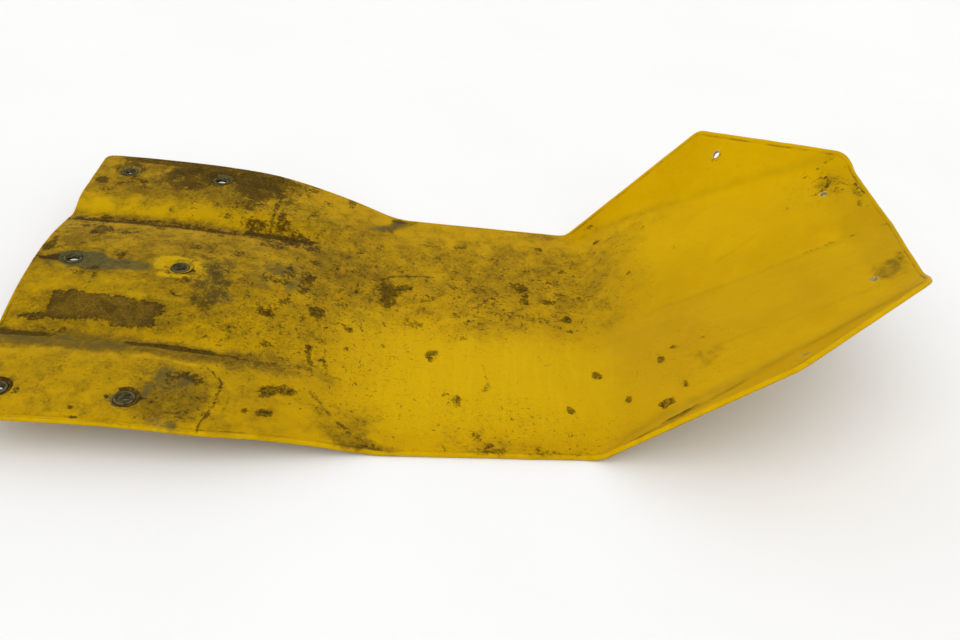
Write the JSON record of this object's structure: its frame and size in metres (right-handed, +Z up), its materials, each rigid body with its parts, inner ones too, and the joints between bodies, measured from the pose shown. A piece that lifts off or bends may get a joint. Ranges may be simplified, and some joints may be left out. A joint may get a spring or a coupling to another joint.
{
  "type": "spine board",
  "caption": "Contoured moulded spine board: bolted W-section platform with eyeleted holes, flat waist to rest on, and a flared trough climbing to the other end.",
  "frame": {"origin": "on the rest plane under the waist, at the middle of the board's box in X and Y", "axes": "+X along the board towards the flared end, +Y across the board, +Z up, out of the rest plane"},
  "size_m": [0.84, 0.4716, 0.1721],
  "materials": {
    "gel_coat_yellow": "worn semi-gloss yellow gel coat with ground-in dirt",
    "doubler_yellow": "duller yellow gel coat, grimed",
    "eyelet_metal": "tarnished grey-green pressed metal",
    "washer_steel": "dull zinc with rust at the edges"
  },
  "bodies": {
    "root": {"board_shell": "gel_coat_yellow", "near_flange_doubler": "doubler_yellow", "saddle_doubler": "doubler_yellow", "far_flange_doubler": "doubler_yellow", "eyelet_near_end": "eyelet_metal", "washer_near_end": "washer_steel", "eyelet_near_inner": "eyelet_metal", "washer_near_inner": "washer_steel", "eyelet_centre_end": "eyelet_metal", "washer_centre_end": "washer_steel", "eyelet_centre_inner": "eyelet_metal", "washer_centre_inner": "washer_steel", "eyelet_far_end": "eyelet_metal", "washer_far_end": "washer_steel", "eyelet_far_inner": "eyelet_metal", "washer_far_inner": "washer_steel"}
  },
  "joints": []
}
